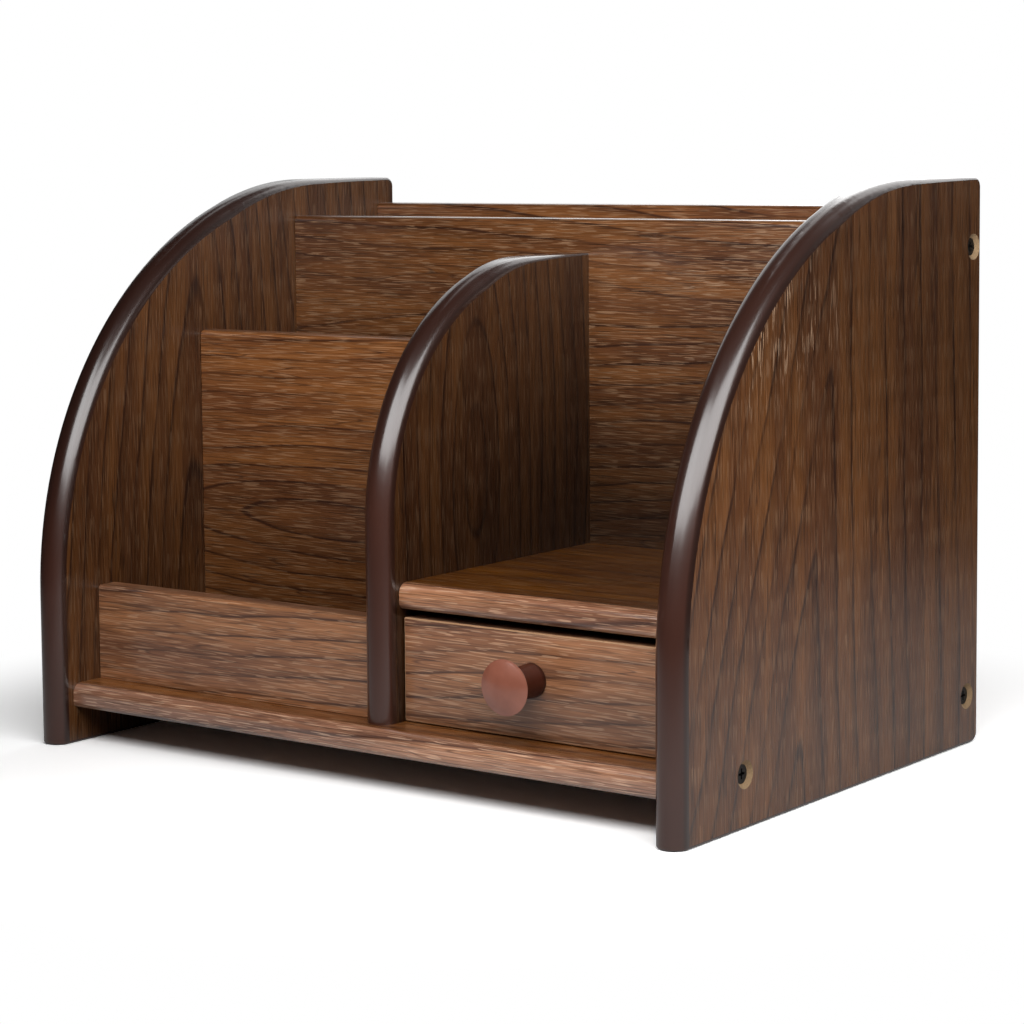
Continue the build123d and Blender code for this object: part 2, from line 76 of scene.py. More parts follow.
# %% [markdown]
# ## Colours and nodes
# Paint charts give colours as sRGB hex values, but a shader works in linear light, so
# one function converts them. A second one adds a shader node: it sets the node's
# options and fills its inputs. An input may be a number, a socket, or another node,
# and then the link starts from that node's first output. The long node names get
# short names here, because they come back on almost every line. A Map Range node, here
# RANGE, counts its inputs: 0 is the value, 1 and 2 the ends of the range that it comes
# from, 3 and 4 the ends of the range that it goes to. Ends left out are 0 and 1, and
# SMOOTH softens both ends of the change.


# %% Colour and node helpers
def colour(hex_value):
    """sRGB hex to a linear RGBA colour."""
    channels = [int(hex_value[i : i + 2], 16) / 255 for i in (1, 3, 5)]
    linear = [c / 12.92 if c < 0.04045 else ((c + 0.055) / 1.055) ** 2.4 for c in channels]
    return (*linear, 1.0)


def add(tree, kind, inputs=None, **settings):
    """One node, with its settings and links. Inputs are values, sockets or nodes."""
    node = tree.nodes.new(kind)
    for key, value in settings.items():
        setattr(node, key, value)
    for key, value in (inputs or {}).items():
        source = value.outputs[0] if isinstance(value, bpy.types.Node) else value
        if isinstance(source, bpy.types.NodeSocket):
            tree.links.new(source, node.inputs[key])
        else:
            node.inputs[key].default_value = source
    return node


PLACE = "ShaderNodeTexCoord"
MAPPING = "ShaderNodeMapping"
NOISE = "ShaderNodeTexNoise"
MATHS = "ShaderNodeMath"
VECTOR_MATHS = "ShaderNodeVectorMath"
RANGE = "ShaderNodeMapRange"
MIX = "ShaderNodeMix"
SPLIT = "ShaderNodeSeparateXYZ"
BUMP = "ShaderNodeBump"
PRINCIPLED = "ShaderNodeBsdfPrincipled"
OUTPUT = "ShaderNodeOutputMaterial"
SMOOTH = dict(interpolation_type="SMOOTHSTEP")
RGBA = dict(data_type="RGBA")
MIX_A, MIX_B, MIX_RESULT = 6, 7, 2


def new_material(name):
    """An empty material and its node tree."""
    material = bpy.data.materials.new(name)
    material.use_nodes = True
    material.node_tree.nodes.clear()
    return material, material.node_tree


print("middle grey in linear light:", round(colour("#808080")[0], 3))

# %% [markdown]
# ## Walnut foil
# The boards wear a printed foil: the pattern of flat-sawn walnut, pressed with fine
# dashes like real pores and sealed with a satin topcoat. Growth rings seen on a
# flat-sawn face follow a cone that the saw cuts nearly along its axis, so the ring
# number at a point is the distance from the heart line plus a little of the height.
# That one formula gives both straight side grain and the pointed arches that a joiner
# calls cathedrals.
#
# Noise does the rest. Each noise below is stretched along the grain: the table gives
# its size across and along the grain in millimetres, and its detail. The slow ones
# bend the rings and make broad bands, the quick ones draw fibres, pores and light
# dashes and specks. These light dashes and specks are painted glints: pores that
# catch the light, drawn into the colour. A dash is about half the size of its noise,
# so the pores are 0.2 mm wide and 10 mm long. A pixel of the main view covers about
# 0.4 mm, so fibres, pores and specks are drawn as coarse as this, and not as fine as
# on a real foil: finer ones blur away. Each board has its own seed, which moves the
# noise to another place.

# %% Noises and colours of the foil
GRAIN_NOISES = {
    "bend": (40, 130, 1),
    "wobble": (7, 45, 1),
    "patches": (18, 90, 1),
    "veins": (4.5, 110, 1),
    "vein_gaps": (9, 70, 1),
    "hairs": (1.5, 80, 1),
    "hair_gaps": (5, 40, 1),
    "bands": (13, 170, 2),
    "streaks": (0.8, 40, 2),
    "fibres": (0.38, 26, 1),
    "glints": (0.42, 10, 0),
    "pores": (0.42, 20, 0),
    "glint_specks": (0.45, 8, 0),
    "speck_gaps": (7, 30, 1),
}
FOIL_LIGHT = colour("#8A562C")
FOIL_MIDDLE = colour("#643A20")
FOIL_DARK = colour("#34190E")
# Painted highlight: the tint of the glints.
PAINTED_GLINT_TINT = colour("#AC8564")
PORE_DARK = colour("#26130C")
# Painted highlight: the tint of the light specks in the pores.
PAINTED_SPECK_TINT = colour("#B4977C")
SEED_STEPS_MM = (71.0, 433.0, 29.0)


def grain_noises(tree, board, seed):
    """Every noise of the table, stretched along the grain of a board."""
    elsewhere = tuple(seed * step for step in SEED_STEPS_MM)
    shifted = add(tree, VECTOR_MATHS, {0: board, 1: elsewhere}, operation="ADD")
    made = {}
    for name, (across, along, detail) in GRAIN_NOISES.items():
        cells = {"Vector": shifted, "Scale": (1 / across, 1 / along, 1 / across)}
        stretched = add(tree, MAPPING, cells)
        made[name] = add(tree, NOISE, {"Vector": stretched, "Scale": 1.0, "Detail": detail})
    return made


print("noises of the foil:", len(GRAIN_NOISES))

# %% [markdown]
# ## Growth rings
# A ring is pale early wood that darkens to late wood and ends in a thin dark line.
# Each is a mask that rises and falls over a part of the ring, whose width counts from
# 0 to 1. The eye is a dark band round the heart, and its places are in millimetres.
# Each row gives where the mask starts, is full, starts to fade and ends, and then how
# dark it is, which for the eye each board says itself. Slow patches weaken all three
# here and there, so no ring is equally dark throughout.

# %% Growth rings
BEND_MM = 5.5
WOBBLE_MM = 1.2
LATE_WOOD = (0.40, 0.94, 0.95, 1.0, 0.44)
LATE_LINE = (0.82, 0.89, 0.92, 0.97, 0.80)
EYE_MM = (4.0, 9.0, 10.0, 15.0)
PATCH_FROM, PATCH_TO, PATCH_WEAKEST = 0.34, 0.56, 0.40


def ring_distance(tree, noise, board, depth, cone, lean, tilt):
    """Distance from the heart line in millimetres, bent by slow and quick noise."""
    across, along, under = add(tree, SPLIT, {0: board}).outputs
    bend = add(tree, RANGE, {0: noise["bend"], 3: -BEND_MM, 4: BEND_MM})
    wobble = add(tree, RANGE, {0: noise["wobble"], 3: -WOBBLE_MM, 4: WOBBLE_MM})
    waves = add(tree, MATHS, {0: bend, 1: wobble}, operation="ADD")
    waves = add(tree, MATHS, {0: along, 1: -tilt, 2: waves}, operation="MULTIPLY_ADD")
    across = add(tree, MATHS, {0: across, 1: waves}, operation="ADD")
    under = add(tree, MATHS, {0: under, 1: depth}, operation="ADD")
    leaning = add(tree, MATHS, {0: along, 1: lean}, operation="MULTIPLY")
    from_heart = add(tree, "ShaderNodeCombineXYZ", {0: across, 1: leaning, 2: under})
    straight = add(tree, VECTOR_MATHS, {0: from_heart}, operation="LENGTH").outputs["Value"]
    return add(tree, MATHS, {0: along, 1: cone, 2: straight}, operation="MULTIPLY_ADD")


def ring_masks(tree, noise, radius, ring, eye):
    """Masks of the late wood, its dark line and the eye round the heart."""
    turns = add(tree, MATHS, {0: radius, 1: ring}, operation="DIVIDE")
    turn = add(tree, MATHS, {0: turns}, operation="FRACT")
    weak = {0: noise["patches"], 1: PATCH_FROM, 2: PATCH_TO, 3: PATCH_WEAKEST}
    patches = add(tree, RANGE, weak, **SMOOTH)
    masks = []
    for place, shape in ((turn, LATE_WOOD), (turn, LATE_LINE), (radius, (*EYE_MM, eye))):
        start, full, fading, end, strength = shape
        rise = add(tree, RANGE, {0: place, 1: start, 2: full, 4: strength}, **SMOOTH)
        mask = add(tree, RANGE, {0: place, 1: fading, 2: end, 3: rise, 4: 0.0}, **SMOOTH)
        masks.append(add(tree, MATHS, {0: mask, 1: patches}, operation="MULTIPLY"))
    return masks


print("late wood, late line:", LATE_WOOD, LATE_LINE)

# %% [markdown]
# ## Thin lines
# A noise crosses its middle value along long, wandering lines. Veins and hairs are
# dark where their noise is close to that middle. A second noise breaks them up.

# %% Thin lines
THIN_LINES = (("veins", "vein_gaps", 0.014, 0.60), ("hairs", "hair_gaps", 0.02, 0.34))
NOISE_MIDDLE = 0.5
GAP_FROM, GAP_TO = 0.42, 0.58


def thin_lines(tree, noise):
    """Masks of the veins and of the hairs."""
    masks = []
    for lines_of, gaps_of, width, darkness in THIN_LINES:
        off = add(tree, MATHS, {0: noise[lines_of], 1: NOISE_MIDDLE}, operation="SUBTRACT")
        off = add(tree, MATHS, {0: off}, operation="ABSOLUTE")
        line = add(tree, RANGE, {0: off, 1: 0.0, 2: width, 3: darkness, 4: 0.0}, **SMOOTH)
        gaps = add(tree, RANGE, {0: noise[gaps_of], 1: GAP_FROM, 2: GAP_TO}, **SMOOTH)
        masks.append(add(tree, MATHS, {0: line, 1: gaps}, operation="MULTIPLY"))
    return masks


print("thin lines:", len(THIN_LINES))

# %% [markdown]
# ## Painted shade, painted light and painted glints
# A board may get three extras, each given by places of the frame in millimetres: a
# fade from dark to full between two points, which is painted shade, a paler front
# edge, which is painted light, and light specks in the pores round one point, which
# are painted glints. No workshop step explains them: all three are set for how the
# boards look under the lamps of this scene.

# %% Painted shade, painted light and painted glints
PAINTED_LIGHT_SATURATION = 0.78
SPECK_GAPS_FROM, SPECK_GAPS_TO = 0.40, 0.62
SPECK_FROM, SPECK_TO = 0.64, 0.70


def fade_from_dark(tree, in_mm, dark_point, full_point, level):
    """A factor that is level at the dark point and 1 at the full point."""
    way = Vector(full_point) - Vector(dark_point)
    way /= way.length_squared
    from_dark = add(tree, VECTOR_MATHS, {0: in_mm, 1: dark_point}, operation="SUBTRACT")
    reach = add(tree, VECTOR_MATHS, {0: from_dark, 1: tuple(way)}, operation="DOT_PRODUCT")
    return add(tree, RANGE, {0: reach.outputs["Value"], 3: level}, **SMOOTH)


def front_to_back(tree, in_mm, front, back, at_front, at_back):
    """A value that changes along Y, from a front edge to where its painted light ends."""
    y_mm = add(tree, SPLIT, {0: in_mm}).outputs[1]
    ends = {0: y_mm, 1: front, 2: back, 3: at_front, 4: at_back}
    return add(tree, RANGE, ends, **SMOOTH).outputs[0]


def painted_glint_mask(tree, noise, in_mm, middle, near, beyond, speck_strength):
    """Painted glints: light specks round a point, dense up to near and gone beyond."""
    far = add(tree, VECTOR_MATHS, {0: in_mm, 1: middle}, operation="DISTANCE").outputs["Value"]
    spot = add(tree, RANGE, {0: far, 1: near, 2: beyond, 3: speck_strength, 4: 0.0}, **SMOOTH)
    broken = {0: noise["speck_gaps"], 1: SPECK_GAPS_FROM, 2: SPECK_GAPS_TO}
    gaps = add(tree, RANGE, broken, **SMOOTH)
    specks = add(tree, RANGE, {0: noise["glint_specks"], 1: SPECK_FROM, 2: SPECK_TO}, **SMOOTH)
    glint_specks = add(tree, MATHS, {0: spot, 1: gaps}, operation="MULTIPLY")
    return add(tree, MATHS, {0: glint_specks, 1: specks}, operation="MULTIPLY")


print("dust shows where its noise is above", SPECK_FROM)

# %% [markdown]
# ## The foil as a function
# One function makes the foil of any board. The grain runs along X or along Z, and the
# heart is a point of the frame in millimetres. The rings come first. Then the colours
# are laid over each other from slow to quick, each through its own mask, and the tone
# and the topcoat come last. The topcoat is satin, and the pressed pores lie a little
# below it.

# %% The walnut foil
BANDS_FROM, BANDS_TO, BANDS_STRENGTH = 0.34, 0.64, 0.80
STREAKS_FROM, STREAKS_TO, STREAKS_STRENGTH = 0.35, 0.66, 0.14
GLINTS_FROM, GLINTS_TO = 0.59, 0.66
PORES_FROM, PORES_TO, PORES_STRENGTH = 0.59, 0.70, 0.46
FIBRES_FROM, FIBRES_TO, FIBRE_CONTRAST = 0.25, 0.75, 0.23
SATIN_FROM, SATIN_TO, SATIN_SPREAD = 0.3, 0.7, 0.04
TOPCOAT_ROUGHNESS = 0.20
TOPCOAT_IOR = 1.7


def foil_colour(tree, noise, rings, glint_level):
    """The printed colours and the painted glints, laid over each other from slow to quick."""
    late_wood, late_line, eye_band = rings
    veins, hairs = thin_lines(tree, noise)
    broad = {0: noise["bands"], 1: BANDS_FROM, 2: BANDS_TO, 4: BANDS_STRENGTH}
    streaky = {0: noise["streaks"], 1: STREAKS_FROM, 2: STREAKS_TO, 4: STREAKS_STRENGTH}
    # The glints are painted highlights: light dashes where pressed pores catch the light.
    glinting = {0: noise["glints"], 1: GLINTS_FROM, 2: GLINTS_TO, 4: glint_level}
    pressed = {0: noise["pores"], 1: PORES_FROM, 2: PORES_TO, 4: PORES_STRENGTH}
    layers = (
        (add(tree, RANGE, broad, **SMOOTH), FOIL_MIDDLE),
        (add(tree, RANGE, streaky, **SMOOTH), FOIL_DARK),
        (late_wood, FOIL_DARK),
        (late_line, FOIL_DARK),
        (eye_band, FOIL_DARK),
        (add(tree, RANGE, glinting, **SMOOTH), PAINTED_GLINT_TINT),
        (veins, FOIL_DARK),
        (hairs, FOIL_DARK),
        (add(tree, RANGE, pressed, **SMOOTH), PORE_DARK),
    )
    ground = FOIL_LIGHT
    for mask, tint in layers:
        ground = add(tree, MIX, {0: mask, MIX_A: ground, MIX_B: tint}, **RGBA).outputs[MIX_RESULT]
    return ground


def walnut_foil(name, grain, heart, seed, depth=3.0, cone=0.0, lean=0.0, tilt=0.0, ring=7.5,
                tone=1.0, strength=1.0, eye=0.0, dark=None, painted_light=None, painted_glint_spot=None, satin=0.30,
                gloss=0.5, glint_level=0.40):
    """Foil whose grain runs along X or Z; heart is a point of the frame in millimetres.

    cone makes pointed arches, lean closes them into ovals, tilt slants the heart line,
    depth rounds the arches and eye darkens the heart. tone and strength are how light
    and how strong the colour is, the last argument how strong the painted glints are,
    satin how rough the foil is and gloss how thick its topcoat. dark gives two points
    and a level: the foil is drawn that dark at the first point and full at the second,
    as painted shade. The argument after dark, for painted light, gives the Y of a front
    edge, the Y where that light ends and how much paler the front is drawn. The next
    one, for painted glints, gives a middle, the radius where light specks fill the
    pores, the radius where there are none, and their strength.
    """
    material, tree = new_material(name)
    place = add(tree, PLACE).outputs["Object"]
    in_mm = add(tree, VECTOR_MATHS, {0: place, "Scale": 1 / MM}, operation="SCALE")
    from_heart = add(tree, VECTOR_MATHS, {0: in_mm, 1: heart}, operation="SUBTRACT")
    x, y, z = add(tree, SPLIT, {0: from_heart}).outputs
    across, along, under = (y, z, x) if grain == "Z" else (z, x, y)
    board = add(tree, "ShaderNodeCombineXYZ", {0: across, 1: along, 2: under})
    noise = grain_noises(tree, board, seed)
    radius = ring_distance(tree, noise, board, depth, cone, lean, tilt)
    ground = foil_colour(tree, noise, ring_masks(tree, noise, radius, ring, eye), glint_level)

    # Tone: fine fibres, then the extras.
    darkest, palest = (1 - FIBRE_CONTRAST) * tone, (1 + FIBRE_CONTRAST) * tone
    fibres = {0: noise["fibres"], 1: FIBRES_FROM, 2: FIBRES_TO, 3: darkest, 4: palest}
    shade = add(tree, RANGE, fibres)
    # Painted shade: the foil is drawn darker towards the first of two points.
    if dark:
        lit = fade_from_dark(tree, in_mm, *dark)
        shade = add(tree, MATHS, {0: shade, 1: lit}, operation="MULTIPLY")
    # Painted light: the front edge is drawn paler and less saturated; its topcoat is thicker there
    # too.
    if painted_light:
        front, back, paler = painted_light
        pale_front = front_to_back(tree, in_mm, front, back, paler, 1.0)
        shade = add(tree, MATHS, {0: shade, 1: pale_front}, operation="MULTIPLY")
        gloss = front_to_back(tree, in_mm, front, back, 1.0, gloss)
        washed_out = PAINTED_LIGHT_SATURATION * strength
        strength = front_to_back(tree, in_mm, front, back, washed_out, strength)
    ground = add(tree, VECTOR_MATHS, {0: ground, "Scale": shade}, operation="SCALE").outputs[0]
    # Painted glints: light specks in the pores round a point.
    if painted_glint_spot:
        specked = {0: painted_glint_mask(tree, noise, in_mm, *painted_glint_spot), MIX_A: ground, MIX_B: PAINTED_SPECK_TINT}
        ground = add(tree, MIX, specked, **RGBA).outputs[MIX_RESULT]
    ground = add(tree, "ShaderNodeHueSaturation", {"Saturation": strength, "Color": ground})

    relief = add(tree, MATHS, {0: noise["fibres"], 1: noise["pores"]}, operation="SUBTRACT")
    bump = add(tree, BUMP, {"Strength": 0.4, "Distance": 0.1 * MM, "Height": relief})
    smoothest, roughest = satin - SATIN_SPREAD, satin + SATIN_SPREAD
    uneven = {0: noise["fibres"], 1: SATIN_FROM, 2: SATIN_TO, 3: smoothest, 4: roughest}
    surface = {
        "Base Color": ground,
        "Roughness": add(tree, RANGE, uneven),
        "Normal": bump,
        "Coat Weight": gloss,
        "Coat Roughness": TOPCOAT_ROUGHNESS,
        "Coat IOR": TOPCOAT_IOR,
    }
    add(tree, OUTPUT, {"Surface": add(tree, PRINCIPLED, surface)})
    return material


print("topcoat: roughness", TOPCOAT_ROUGHNESS, "IOR", TOPCOAT_IOR)

# %% [markdown]
# ## One foil per board
# Every board is cut from another place of the foil, so each gets its own figure: an
# arch that climbs the right side panel, a long tongue on the middle divider, nearly
# straight grain on the base. The heart is a point of the frame, in millimetres.
#
# The real boards probably share one foil. Their tones, gloss, dark parts and light
# specks differ here because each face was matched by its mean brightness under the
# lamps of this scene. So the tones hold painted light and shade: boards that face the
# front are drawn paler, faces that look sideways or lie inside the compartments
# darker. The dark parts are painted shade and the light specks painted glints. They
# aren't measured properties of the material.

# %% Foil of each board
base_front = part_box("base_board")[0].y / MM
shelf_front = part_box("drawer_shelf")[0].y / MM
foil_plans = {
    "side_panel_right": dict(
        grain="Z", heart=(150, -15.6, 102.5), depth=2, cone=0.20, tilt=0.16, ring=13.0, tone=0.62,
        dark=((150, 20, 190), (150, -20, 60), 0.53), gloss=0.2,
        painted_glint_spot=((150, -50, 184), 14, 68, 0.60),
    ),
    "side_panel_left": dict(
        grain="Z", heart=(-138, -26, 176), depth=8, cone=0.12, ring=9.0, tone=0.62, gloss=0.1,
        dark=((-138, -26, 176), (-150, -26, 176), 0.58),
    ),
    "centre_divider": dict(
        grain="Z", heart=(14.2, -36, 112), lean=0.25, tone=0.26, eye=0.3, gloss=0.0,
        dark=((14.2, 30, 80), (14.2, -30, 170), 0.55),
    ),
    "rear_divider": dict(
        grain="X", heart=(-60, 39.3, 170), depth=4, cone=0.06, tone=0.60, gloss=0.6, glint_level=0.62,
        dark=((60, 39.3, 80), (60, 39.3, 165), 0.27), painted_glint_spot=((95, 39.3, 185), 20, 75, 0.35),
    ),
    "back_panel": dict(grain="X", heart=(40, 95.5, 90), depth=6, cone=0.09, tone=0.8, gloss=0.6),
    "middle_divider": dict(
        grain="X", heart=(-80, -21.5, 84), depth=1.0, cone=-0.05, lean=0.14, tone=1.0, eye=0.30,
        dark=((-60, -21.5, 45), (-60, -21.5, 150), 0.60),
    ),
    "bin_fascia": dict(
        grain="X", heart=(60, -84, 75), depth=8, cone=0.05, tone=1.35, strength=0.92, satin=0.46,
        gloss=0.7,
    ),
    "base_board": dict(
        grain="X", heart=(0, -40, 40), depth=20, cone=0.03, tone=0.95, strength=1.05,
        gloss=0.4, glint_level=0.42, painted_light=(base_front + 2, base_front + 5, 2.05),
    ),
    "drawer_shelf": dict(
        grain="X", heart=(60, -20, 95), depth=20, cone=0.03, tone=0.52, strength=1.12,
        gloss=0.0, glint_level=0.42, painted_light=(shelf_front + 2, shelf_front + 5, 3.3),
    ),
    "drawer_front": dict(
        grain="X", heart=(60, -81.6, 75), depth=8, cone=0.06, tone=1.53, strength=0.90, satin=0.46,
        gloss=0.7, glint_level=0.48, dark=((85, -81.6, 24), (80, -81.6, 66), 0.56),
    ),
}
foils = {}
for seed, (node, plan) in enumerate(foil_plans.items(), start=1):
    foils[node] = walnut_foil("walnut foil, " + node.replace("_", " "), seed=seed, **plan)
print("foils:", len(foils))

# %% [markdown]
# ## Lacquered edge
# Foil wraps a straight nose, but not one that runs along a curve, so the curved edges
# of the side panels and the centre divider are a full round under dark brown lacquer.
# Spraying leaves a very fine orange peel, which the eye sees only as a slight wander
# in the long highlight. Two things are painted shade, set for the look under these
# lamps: the paint is drawn darker where the Normal turns sideways, next to the foil,
# and where it points up, along the top.

# %% Lacquered edge
PAINT_LIGHT = colour("#41241B")
PAINT_DARK = colour("#371D15")
# Painted shade: the lacquer is drawn darker next to the foil and along the top.
SHADE_BESIDE_FOIL = colour("#100805")
SIDEWAYS_FROM, SIDEWAYS_TO, SIDEWAYS_STRENGTH = 0.86, 0.98, 0.6
UPWARDS_FROM, UPWARDS_TO, UPWARDS_LEVEL = -0.1, 0.5, 0.42
PEEL_PER_METRE = 420.0
CLOUD_PER_METRE = 28.0

edge_paint, tree = new_material("dark brown lacquer, sprayed")
place = add(tree, PLACE).outputs["Object"]
peel = add(tree, NOISE, {"Vector": place, "Scale": PEEL_PER_METRE, "Detail": 1.0})
cloud = add(tree, NOISE, {"Vector": place, "Scale": CLOUD_PER_METRE, "Detail": 3.0})
tints = {0: cloud, MIX_A: PAINT_DARK, MIX_B: PAINT_LIGHT}
brown = add(tree, MIX, tints, **RGBA).outputs[MIX_RESULT]
facing = add(tree, SPLIT, {0: add(tree, "ShaderNodeNewGeometry").outputs["Normal"]}).outputs
sideways = add(tree, MATHS, {0: facing[0]}, operation="ABSOLUTE")
beside = {0: sideways, 1: SIDEWAYS_FROM, 2: SIDEWAYS_TO, 4: SIDEWAYS_STRENGTH}
shade_beside_foil = add(tree, RANGE, beside, **SMOOTH)
darkened = {0: shade_beside_foil, MIX_A: brown, MIX_B: SHADE_BESIDE_FOIL}
brown = add(tree, MIX, darkened, **RGBA).outputs[MIX_RESULT]
shade_along_top = {0: facing[2], 1: UPWARDS_FROM, 2: UPWARDS_TO, 3: 1.0, 4: UPWARDS_LEVEL}
level = add(tree, RANGE, shade_along_top, **SMOOTH)
brown = add(tree, VECTOR_MATHS, {0: brown, "Scale": level}, operation="SCALE").outputs[0]
surface = {
    "Base Color": brown,
    "Roughness": add(tree, RANGE, {0: cloud, 3: 0.30, 4: 0.36}),
    "Normal": add(tree, BUMP, {"Strength": 0.10, "Distance": 0.05 * MM, "Height": peel}),
    "Specular IOR Level": 0.25,
    "Coat Weight": 1.0,
    "Coat Roughness": 0.2,
    "Coat IOR": 1.55,
}
add(tree, OUTPUT, {"Surface": add(tree, PRINCIPLED, surface)})
print("lacquer:", edge_paint.name)

# %% [markdown]
# ## Small finishes
# Where the foil is drilled away, the fibreboard shows: pale tan, pressed from fine
# fibres, dull. The drawer box is the same board left bare. The dowels are turned
# beech. Screws are steel with a black oxide, which is dark and satin. The screw and
# the brads of the drawer are zinc plated. The knob has a terracotta lacquer, glossy
# on the disc. Its stem is duller, and it is drawn darker as painted shade, set for
# the look under these lamps. The light foil on the arrises of the drawer front is a
# painted highlight. One recipe serves them all: grains of a second tone, and a bump
# as fine as the grains. What only some finishes have, such as a coat, is added to the
# shader.


# %% Small finishes
ROUGHNESS_SPREAD = 0.07


def speckled(name, base, spot, scale_mm, roughness, more=None):
    """A finish of two hex colours in grains of a size; more holds extra shader inputs."""
    material, tree = new_material(name)
    place = add(tree, PLACE).outputs["Object"]
    grain = add(tree, NOISE, {"Vector": place, "Scale": 1 / (scale_mm * MM), "Detail": 3.0})
    tints = {0: grain, MIX_A: colour(base), MIX_B: colour(spot)}
    mixed = add(tree, MIX, tints, **RGBA).outputs[MIX_RESULT]
    smoothest, roughest = roughness - ROUGHNESS_SPREAD, roughness + ROUGHNESS_SPREAD
    rough = add(tree, RANGE, {0: grain, 3: smoothest, 4: roughest})
    bump = add(tree, BUMP, {"Strength": 0.4, "Distance": 0.1 * MM, "Height": grain})
    surface = {"Base Color": mixed, "Roughness": rough, "Normal": bump, **(more or {})}
    add(tree, OUTPUT, {"Surface": add(tree, PRINCIPLED, surface)})
    return material


blackened = {"Metallic": 0.6}
plated = {"Metallic": 1.0}
glossy = {"Coat Weight": 1.0, "Coat Roughness": 0.14}
dull = {"Specular IOR Level": 0.2}
raw_board = speckled("raw fibreboard, machined", "#6B543C", "#A48865", 0.5, 0.85)
# Painted highlight: light foil for the arrises of the drawer front.
edge_highlight_foil = speckled("walnut foil, rubbed edge", "#8F6A4B", "#B08A68", 1.2, 0.45)
dowel_wood = speckled("beech dowel, turned", "#B08A5C", "#D3B182", 1.5, 0.7)
black_screw = speckled("black oxide steel", "#0C0B0A", "#2A2725", 0.6, 0.42, blackened)
plated_steel = speckled("zinc plated steel", "#8E8C86", "#B4B2AB", 0.9, 0.3, plated)
knob_paint = speckled("terracotta lacquer, sprayed", "#733E2C", "#9A5E4B", 8.0, 0.42, glossy)
# Painted shade: the stem is drawn darker than the disc.
stem_paint = speckled(
    "terracotta lacquer, painted shade on the stem", "#3A160B", "#472013", 2.5, 0.45, dull
)
print("materials so far:", len(bpy.data.materials))

# %% [markdown]
# ## Boards
# A board is a block whose front top edge is rounded and whose other arrises are
# broken by a few tenths of a millimetre, as foil wrapping needs. The block starts as
# a cube, takes the box of its CAD node, and gets one bevel for the nose and one for
# the rest. A weighted normal keeps the wide faces flat in the light. The drawer front
# has light arrises, a painted highlight.


# %% Board helpers
SAME_PLACE = 0.01 * MM
LONG_ENOUGH = 5 * MM
SHARP = math.radians(40)
SQUARE_ON = 0.98
NOSE_STEPS, UNDER_STEPS, ARRIS_STEPS = 8, 6, 2
FLATNESS_WEIGHT = 60


def to_piece(bm, name, materials, node):
    """Turns the mesh under construction into a finished piece that stands for a node."""
    bmesh.ops.recalc_face_normals(bm, faces=bm.faces)
    for face in bm.faces:
        face.smooth = True
    mesh = bpy.data.meshes.new(name)
    bm.to_mesh(mesh)
    bm.free()
    for material in materials:
        mesh.materials.append(material)
    piece = bpy.data.objects.new(name, mesh)
    bpy.context.scene.collection.objects.link(piece)
    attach(piece, nodes[node]["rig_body"])
    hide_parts(node)
    print(name, len(mesh.polygons), "faces")
    return piece


def front_edges(bm, y_value, z_value):
    """Edges that run along X at a depth and a height."""
    found = []
    for edge in bm.edges:
        a, b = (vertex.co for vertex in edge.verts)
        middle = (a + b) / 2
        along_x = abs(a.x - b.x) > LONG_ENOUGH
        off = max(abs(middle.y - y_value), abs(middle.z - z_value))
        if along_x and off < SAME_PLACE:
            found.append(edge)
    return found


def round_edges(bm, edges, radius, segments):
    """A bevel of round profile along some edges."""
    shape = dict(offset=radius, offset_type="OFFSET", segments=segments, profile=0.5)
    bmesh.ops.bevel(bm, geom=edges, affect="EDGES", material=-1, clamp_overlap=True, **shape)


def board(node, name, top_nose, under_nose=0.0, arris=0.35 * MM, painted_light=False):
    """A board in the box of its node, with round front edges and broken arrises."""
    low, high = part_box(node)
    bm = bmesh.new()
    bmesh.ops.create_cube(bm, size=1.0)
    bmesh.ops.scale(bm, vec=high - low, verts=bm.verts)
    bmesh.ops.translate(bm, vec=(low + high) / 2, verts=bm.verts)
    round_edges(bm, front_edges(bm, low.y, high.z), top_nose, NOSE_STEPS)
    if under_nose:
        round_edges(bm, front_edges(bm, low.y, low.z), under_nose, UNDER_STEPS)
    sharp = [edge for edge in bm.edges if edge.calc_face_angle(0.0) > SHARP]
    round_edges(bm, sharp, arris, ARRIS_STEPS)
    # Painted highlight: the slanted faces at the front take the light edge foil.
    if painted_light:
        for face in bm.faces:
            slanted = max(abs(part) for part in face.normal) < SQUARE_ON
            at_front = face.calc_center_median().y < (low.y + high.y) / 2
            face.material_index = 1 if slanted and at_front else 0
    piece = to_piece(bm, name, [foils[node], edge_highlight_foil], node)
    flat = piece.modifiers.new("flat faces", "WEIGHTED_NORMAL")
    flat.weight = FLATNESS_WEIGHT


print("steps of a nose, an under edge and an arris:", NOSE_STEPS, UNDER_STEPS, ARRIS_STEPS)

# %% [markdown]
# ## Six foiled boards
# Three of the upright boards have a nose of 2.2 mm, and the low fascia one of 1.5 mm.
# The front of the shelf is rounded above and below, more above, and the edges of the
# drawer front are only just broken.

# %% The upright boards, the shelf and the drawer front
UPRIGHT_NOSE = 2.2 * MM
FASCIA_NOSE = 1.5 * MM
SHELF_NOSE, SHELF_UNDER_NOSE = 4.0 * MM, 2.5 * MM
DRAWER_EDGE, DRAWER_ARRIS = 0.7 * MM, 0.5 * MM

board("back_panel", "back_panel_foiled", UPRIGHT_NOSE)
board("rear_divider", "rear_divider_foiled", UPRIGHT_NOSE)
board("middle_divider", "middle_divider_foiled", UPRIGHT_NOSE)
board("bin_fascia", "bin_fascia_foiled", FASCIA_NOSE)
board("drawer_shelf", "drawer_shelf_foiled", SHELF_NOSE, SHELF_UNDER_NOSE)
board("drawer_front", "drawer_front_foiled", DRAWER_EDGE, DRAWER_EDGE, DRAWER_ARRIS, painted_light=True)

